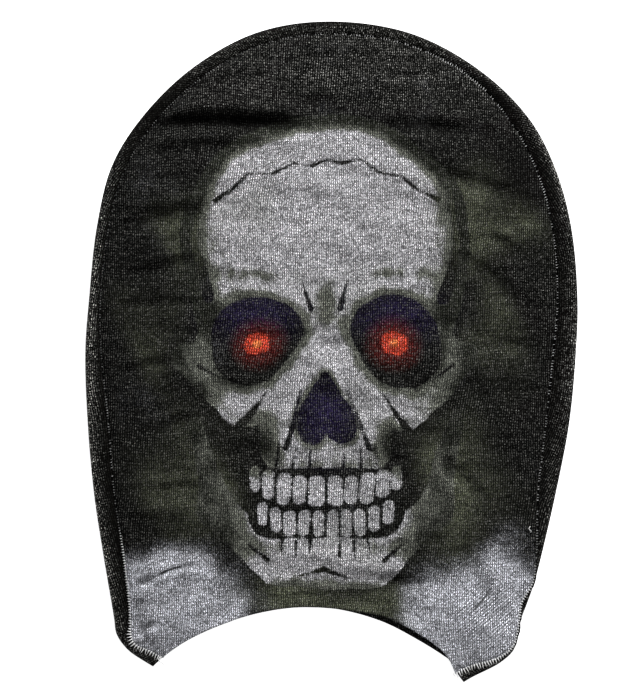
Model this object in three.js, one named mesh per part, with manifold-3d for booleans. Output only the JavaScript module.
// Grim reaper mask: a pull-over hood of printed knitted cloth, laid flat on its back.
// A printed front panel and a dark back panel are joined by one overlocked seam. The seam has rolled
// onto the front, so a margin of the back panel frames the front panel. The neck end is open.
// Millimetres. +X is the viewer's right, +Y runs to the crown, +Z is the face side, and z = 0 is the floor.

import * as THREE from "three";
import { mergeVertices } from "three/addons/utils/BufferGeometryUtils.js";
import Module from "manifold-3d";

const wasm = await Module();
wasm.setup();

// Driving dimensions
const CLOTH = 1.1; // wall of the knitted cloth
const EDGE_HEIGHT = 4.4; // rolled edge, from the floor to its top
const LOFT = 13; // top of the front panel above the floor, away from its edge
const RISE = 48; // length over which the front panel climbs from the seam to its loft
const GAP = 0.3; // clearance between sewn pieces
const SEAM_WIDTH = 4.6; // overlocked allowance, lying inside the hood along the seam
const ROUND_STEPS = 84; // facets round the outline, which the front panel's folds halve again
const PANEL_RINGS = 11; // facets from the middle of the front panel to its seam, closer near the seam
const FLOOR_RINGS = 3; // facets from the middle of the back panel to its rolled edge
const ROLL_STEPS = 5; // facets round the rolled edge

// The middle that both panels are lofted from.
const MIDDLE = new THREE.Vector2(-4, 0);

// The outline, one row for each height. left and right are the distances of the outline from the
// centre line, leftRoll and rightRoll the width of the back panel's margin that shows on the front.
const CROWN = { up: 168.4, side: -2.3, roll: 6.6 };
const SECTIONS = [
  { up: 162.4, left: 39.0, right: 40.0, leftRoll: 6.6, rightRoll: 6.2 },
  { up: 144.1, left: 71.7, right: 74.7, leftRoll: 6.8, rightRoll: 6.0 },
  { up: 119.6, left: 96.6, right: 100.2, leftRoll: 6.6, rightRoll: 8.8 },
  { up: 95.1, left: 111.9, right: 113.5, leftRoll: 6.8, rightRoll: 9.4 },
  { up: 64.5, left: 119.6, right: 122.1, leftRoll: 6.0, rightRoll: 9.6 },
  { up: 27.0, left: 123.7, right: 125.5, leftRoll: 5.8, rightRoll: 10.2 },
  { up: 0.0, left: 125.6, right: 124.7, leftRoll: 8.0, rightRoll: 11.6 },
  { up: -36.0, left: 124.4, right: 121.3, leftRoll: 10.4, rightRoll: 11.8 },
  { up: -73.0, left: 121.1, right: 114.2, leftRoll: 10.2, rightRoll: 9.0 },
  { up: -105.0, left: 116.2, right: 106.8, leftRoll: 10.0, rightRoll: 3.4 },
  { up: -130.0, left: 111.9, right: 99.2, leftRoll: 8.7, rightRoll: 3.0 },
  { up: -144.0, left: 109.7, right: 95.3, leftRoll: 7.0, rightRoll: 2.9 },
  { up: -152.0, left: 104.0, right: 92.6, leftRoll: 5.8, rightRoll: 3.0 },
  { up: -158.5, left: 94.6, right: 85.4, leftRoll: 5.0, rightRoll: 4.2 },
  { up: -166.0, left: 81.5, right: 71.4, leftRoll: 4.7, rightRoll: 5.5 },
  { up: -172.5, left: 70.0, right: 59.5, leftRoll: 4.7, rightRoll: 5.6 },
];
// Below the neck the outline is only carried on far enough for the neck cuts to trim it.
const BELOW_NECK = { up: -186, side: -6, roll: 5 };

// The neck edges, one row for each distance from the centre line: the height of the front panel's edge
// and of the back panel's. On the right a sliver of the back panel shows past the front.
const NECK = [
  { side: -94, front: -163.0, back: -163.5 },
  { side: -82, front: -152.8, back: -152.0 },
  { side: -70, front: -145.2, back: -143.6 },
  { side: -46, front: -135.3, back: -133.8 },
  { side: -20, front: -130.2, back: -129.6 },
  { side: 4, front: -130.9, back: -131.2 },
  { side: 26, front: -134.5, back: -137.0 },
  { side: 44, front: -143.4, back: -146.2 },
  { side: 56.6, front: -152.8, back: -154.4 },
  { side: 61, front: -158.6, back: -160.2 },
  { side: 67, front: -172.0, back: -168.6 },
];
const NECK_FACETS = 30; // facets of a neck edge
const CUT_BELOW = -260; // lower end of the neck cutters, past the mask
const CUT_DEPTH = 60; // depth of the neck cutters, past both faces of the mask

// Folds of the front panel, one row each: where the middle lies, the length along the fold,
// its turn from +X in degrees, its width across, and its height, negative for a crease.
const FOLDS = [
  { side: -53.0, up: 118.6, length: 66, turn: -1, width: 13, height: -2.8 },
  { side: -56.0, up: 129.0, length: 60, turn: 0, width: 13, height: 1.6 },
  { side: -68.0, up: 104.5, length: 38, turn: 4, width: 12, height: -1.6 },
  { side: -84.0, up: 70.0, length: 54, turn: 7, width: 13, height: -2.4 },
  { side: -82.0, up: 81.0, length: 46, turn: 8, width: 13, height: 1.4 },
  { side: -88.0, up: 40.0, length: 44, turn: 15, width: 12, height: -2.0 },
  { side: -90.0, up: 22.0, length: 34, turn: 2, width: 12, height: -1.6 },
  { side: -92.0, up: -6.0, length: 34, turn: -6, width: 12, height: -1.7 },
  { side: -78.0, up: -36.0, length: 26, turn: 20, width: 12, height: -1.3 },
  { side: -82.0, up: -69.0, length: 26, turn: 9, width: 12, height: -1.4 },
  { side: -80.0, up: -111.0, length: 26, turn: 16, width: 12, height: -1.5 },
  { side: 0.0, up: 138.0, length: 90, turn: 1, width: 14, height: 1.4 },
  { side: 47.0, up: 115.5, length: 62, turn: -5, width: 13, height: -2.0 },
  { side: 68.0, up: 87.0, length: 38, turn: -14, width: 12, height: -1.9 },
  { side: 64.0, up: 99.0, length: 40, turn: -16, width: 12, height: 1.3 },
  { side: 84.0, up: 36.0, length: 30, turn: -32, width: 12, height: -1.7 },
  { side: 66.0, up: -64.0, length: 30, turn: -42, width: 12, height: -1.4 },
  { side: 33.0, up: -116.0, length: 34, turn: -5, width: 12, height: -1.5 },
];
const FOLD_FADE = 16; // folds die out this far from the seam

const PRINTED_CLOTH = { color: 0x8d8b8c, roughness: 0.92, metalness: 0 };
const DARK_CLOTH = { color: 0x1d1c1b, roughness: 0.95, metalness: 0 };
const DARK_THREAD = { color: 0x262422, roughness: 0.8, metalness: 0 };

// The outline as points on the flat, each with the inward normal and the roll's width there.
function outline() {
  const right = SECTIONS.map((s) => new THREE.Vector3(s.right, s.up, s.rightRoll));
  const left = SECTIONS.map((s) => new THREE.Vector3(-s.left, s.up, s.leftRoll)).reverse();
  const crown = new THREE.Vector3(CROWN.side, CROWN.up, CROWN.roll);
  const closing = new THREE.Vector3(BELOW_NECK.side, BELOW_NECK.up, BELOW_NECK.roll);
  const curve = new THREE.CatmullRomCurve3([crown, ...right, closing, ...left], true);
  const spaced = curve.getSpacedPoints(ROUND_STEPS).slice(0, ROUND_STEPS);
  return spaced.map((point, i) => {
    const before = spaced[(i + ROUND_STEPS - 1) % ROUND_STEPS];
    const after = spaced[(i + 1) % ROUND_STEPS];
    // The points run clockwise, so the inward normal lies on the right of the way along.
    const inward = new THREE.Vector2(after.y - before.y, before.x - after.x).normalize();
    return { place: new THREE.Vector2(point.x, point.y), inward, roll: point.z };
  });
}

const OUTLINE = outline();

// A ring round the mask at a height, its points moved in from the outline by a distance.
function ring(distance, height) {
  return OUTLINE.map((o) => {
    const inset = typeof distance === "function" ? distance(o) : distance;
    const flat = o.inward.clone().multiplyScalar(inset).add(o.place);
    return new THREE.Vector3(flat.x, flat.y, height);
  });
}

// A ring drawn in towards the middle: share 1 is the ring itself, 0 is the middle.
function shrink(rim, share) {
  return rim.map((p) => {
    const x = MIDDLE.x + (p.x - MIDDLE.x) * share;
    const y = MIDDLE.y + (p.y - MIDDLE.y) * share;
    return new THREE.Vector3(x, y, p.z);
  });
}

// A ring with a point added halfway along each of its edges.
function halve(rim) {
  return rim.flatMap((p, i) => [p, p.clone().lerp(rim[(i + 1) % rim.length], 0.5)]);
}

// A closed surface through rings of equal length, listed outwards on the upper face and inwards on the
// lower. A list that wraps is a tube round the outline, any other has its two end rings capped with fans.
function loft(rings, wraps) {
  const count = rings[0].length;
  const points = rings.flat();
  const faces = [];
  const spans = wraps ? rings.length : rings.length - 1;
  for (let j = 0; j < spans; j++) {
    const from = j * count;
    const to = ((j + 1) % rings.length) * count;
    for (let i = 0; i < count; i++) {
      const next = (i + 1) % count;
      faces.push(from + i, to + next, to + i, from + i, from + next, to + next);
    }
  }
  if (!wraps) {
    const lastRing = (rings.length - 1) * count;
    const first = points.push(middleOf(rings[0])) - 1;
    const last = points.push(middleOf(rings[rings.length - 1])) - 1;
    for (let i = 0; i < count; i++) {
      const next = (i + 1) % count;
      faces.push(first, next, i, last, lastRing + i, lastRing + next);
    }
  }
  const geometry = new THREE.BufferGeometry().setFromPoints(points);
  return geometry.setIndex(faces);
}

function middleOf(rim) {
  const sum = rim.reduce((total, p) => total.add(p), new THREE.Vector3());
  return sum.divideScalar(rim.length);
}

function solidOf(geometry) {
  const bare = geometry.clone();
  bare.deleteAttribute("normal");
  bare.deleteAttribute("uv");
  const merged = mergeVertices(bare, 1e-4);
  return new wasm.Manifold(
    new wasm.Mesh({
      numProp: 3,
      vertProperties: merged.attributes.position.array,
      triVerts: new Uint32Array(merged.index.array),
    }),
  );
}

function geometryOf(solid) {
  const mesh = solid.getMesh();
  return new THREE.BufferGeometry()
    .setAttribute("position", new THREE.BufferAttribute(mesh.vertProperties, mesh.numProp))
    .setIndex(new THREE.BufferAttribute(mesh.triVerts, 1));
}

// A block below a panel's neck edge, which cuts the cloth as scissors would.
function neckCutter(panel) {
  const edge = NECK.map((n) => new THREE.Vector2(n.side, n[panel]));
  const curve = new THREE.SplineCurve(edge).getPoints(NECK_FACETS);
  const first = edge[0];
  const last = edge[edge.length - 1];
  const corners = [new THREE.Vector2(last.x, CUT_BELOW), new THREE.Vector2(first.x, CUT_BELOW)];
  const block = new THREE.ExtrudeGeometry(new THREE.Shape([...curve, ...corners]), {
    depth: CUT_DEPTH,
    bevelEnabled: false,
  });
  return solidOf(block.translate(0, 0, -CUT_DEPTH / 2));
}

// Height of the folds at a point of the front panel.
function foldHeight(x, y) {
  return FOLDS.reduce((sum, f) => {
    const turn = THREE.MathUtils.degToRad(f.turn);
    const dx = x - f.side;
    const dy = y - f.up;
    const along = (dx * Math.cos(turn) + dy * Math.sin(turn)) / (f.length / 2);
    const across = (dy * Math.cos(turn) - dx * Math.sin(turn)) / (f.width / 2);
    return sum + f.height * Math.exp(-(along ** 4) - across ** 2);
  }, 0);
}

// Height of the front panel's top at a point, and at a distance in from its seam.
function panelTop(x, y, fromSeam) {
  const climb = Math.min(1, fromSeam / RISE);
  const lofted = EDGE_HEIGHT + (LOFT - EDGE_HEIGHT) * Math.sin((climb * Math.PI) / 2);
  return lofted + foldHeight(x, y) * THREE.MathUtils.smoothstep(fromSeam, 0, FOLD_FADE);
}

// The printed front panel: a shallow dome of cloth inside the seam.
function frontPanel() {
  const seam = halve(ring((o) => o.roll + GAP / 2, 0));
  const reach = seam.map((p) => Math.hypot(p.x - MIDDLE.x, p.y - MIDDLE.y));
  const shares = Array.from({ length: PANEL_RINGS }, (_, j) => Math.sqrt((j + 1) / PANEL_RINGS));
  const top = shares.map((share) =>
    shrink(seam, share).map((p, i) => p.setZ(panelTop(p.x, p.y, reach[i] * (1 - share)))),
  );
  const underside = top.map((rim) => rim.map((p) => p.clone().setZ(p.z - CLOTH)));
  return loft([...top, ...underside.reverse()], false);
}

// The back panel: flat on the floor, rolled up round the edge and over onto the front as far as the seam.
function backPanel() {
  const outside = EDGE_HEIGHT / 2;
  const inside = outside - CLOTH;
  const shares = Array.from({ length: FLOOR_RINGS }, (_, j) => (j + 1) / FLOOR_RINGS);
  const turns = Array.from({ length: ROLL_STEPS }, (_, j) => ((j + 1) * Math.PI) / (ROLL_STEPS + 1));
  const roll = (radius) =>
    turns.map((a) => ring(outside - radius * Math.sin(a), outside - radius * Math.cos(a)));
  const margin = (o) => o.roll - GAP / 2;
  const under = shares.map((share) => shrink(ring(outside, 0), share));
  const floor = shares.map((share) => shrink(ring(outside, CLOTH), share));
  const overTop = (height) => [ring(outside, height), ring(margin, height)];
  const innerFace = [...floor, ...roll(inside), ...overTop(EDGE_HEIGHT - CLOTH)];
  const outerFace = [...under, ...roll(outside), ...overTop(EDGE_HEIGHT)];
  return loft([...innerFace, ...outerFace.reverse()], false);
}

// The overlocked allowance of both panels: a flat ridge along the inside of the seam.
function overlockSeam() {
  const low = CLOTH + GAP;
  const high = EDGE_HEIGHT - CLOTH - GAP;
  const middle = (low + high) / 2;
  const chamfer = (high - low) / 2;
  const from = (o) => o.roll + GAP / 2;
  const section = [
    [chamfer, low],
    [SEAM_WIDTH - chamfer, low],
    [SEAM_WIDTH, middle],
    [SEAM_WIDTH - chamfer, high],
    [chamfer, high],
    [0, middle],
  ];
  return loft(section.map(([inset, height]) => ring((o) => from(o) + inset, height)), true);
}

function piece(name, geometry, panel, finish) {
  const solid = solidOf(geometry).subtract(neckCutter(panel));
  const mesh = new THREE.Mesh(geometryOf(solid), new THREE.MeshStandardMaterial(finish));
  mesh.name = name;
  return mesh;
}

const mask = new THREE.Group();
mask.name = "reaper_mask";
mask.add(
  piece("front_panel", frontPanel(), "front", PRINTED_CLOTH),
  piece("back_panel", backPanel(), "back", DARK_CLOTH),
  piece("overlock_seam", overlockSeam(), "back", DARK_THREAD),
);

export default mask;
